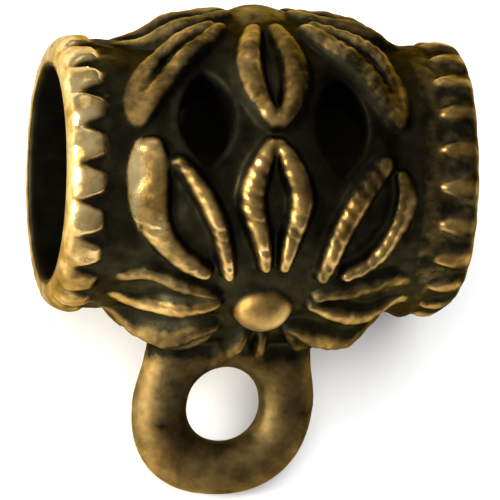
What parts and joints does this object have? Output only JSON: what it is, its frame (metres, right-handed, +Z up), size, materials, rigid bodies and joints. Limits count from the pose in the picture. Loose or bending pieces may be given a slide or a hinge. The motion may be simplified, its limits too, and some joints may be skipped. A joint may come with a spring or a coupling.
{
  "type": "jewellery bail",
  "caption": "Cast bail: a short bulged barrel with openwork flowers in relief and toothed collars, which slides on a cord, and a loop on its side that carries a pendant.",
  "frame": {"origin": "middle of the bore that the cord runs through", "axes": "+X along the bore, towards the collar that faces right in the picture; +Y level, away from the loop, which slants down towards -Y; +Z up, as the part lies on a table"},
  "size_m": [0.0108, 0.012, 0.009],
  "materials": {
    "antique_brass": "antiqued: dark in the recesses, worn bright on the raised parts"
  },
  "bodies": {
    "root": {"bail": "antique_brass"}
  },
  "joints": []
}
